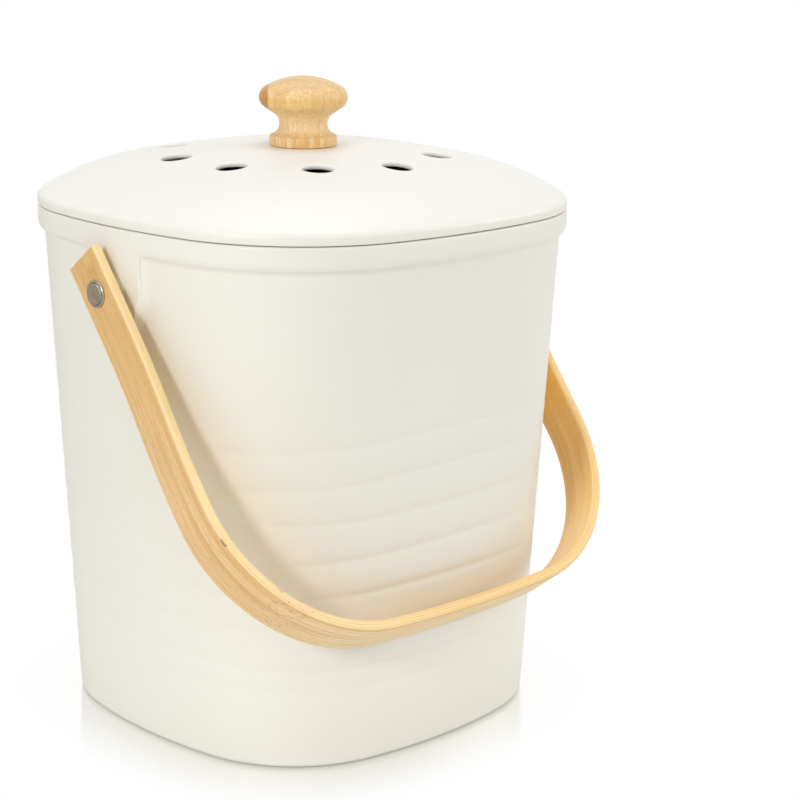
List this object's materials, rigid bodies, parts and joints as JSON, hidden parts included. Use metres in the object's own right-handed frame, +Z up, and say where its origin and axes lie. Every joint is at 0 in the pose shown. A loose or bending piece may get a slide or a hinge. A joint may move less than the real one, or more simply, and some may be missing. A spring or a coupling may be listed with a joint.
{
  "type": "compost bin",
  "caption": "Counter-top compost bin: rounded-square tapered tub, domed vented lid over a filter pad, turned knob and a swinging bent strap handle.",
  "frame": {"origin": "on the base plane, under the knob's axis", "axes": "+Z up; the front, where the handle hangs at rest, faces -Y; the handle's pivots lie along X"},
  "size_m": [0.205, 0.1963, 0.2492],
  "materials": {
    "bamboo_fibre": "satin moulded, cream",
    "bamboo": "oiled bamboo with fine straight grain",
    "steel": "satin",
    "brass": "turned",
    "nylon": "plain",
    "charcoal_felt": "fibrous"
  },
  "bodies": {
    "tub": {"bin_body": "bamboo_fibre", "pivot_post_left": "steel", "pivot_post_right": "steel", "pivot_screw_left": "steel", "pivot_screw_right": "steel", "inner_washer_left": "steel", "inner_washer_right": "steel", "spacer_washer_left": "nylon", "spacer_washer_right": "nylon"},
    "handle": {"handle": "bamboo"},
    "lid": {"lid": "bamboo_fibre", "knob": "bamboo", "knob_insert": "brass", "knob_washer": "steel", "knob_screw": "steel", "charcoal_filter": "charcoal_felt"},
    "cover": {"filter_cover": "bamboo_fibre"}
  },
  "joints": [
    {"name": "handle_swing", "type": "hinge", "parent": "tub", "child": "handle", "pos_m": [0, 0, 0.176], "axis": [-1, 0, 0], "range_deg": [0, 283.8]},
    {"name": "lid_lift", "type": "slide", "parent": "tub", "child": "lid", "axis": [0, 0, 1], "range_m": [0, 0.12]},
    {"name": "cover_twist", "type": "hinge", "parent": "lid", "child": "cover", "pos_m": [0, 0, 0.2046], "axis": [0, 0, 1], "range_deg": [0, 30]}
  ]
}
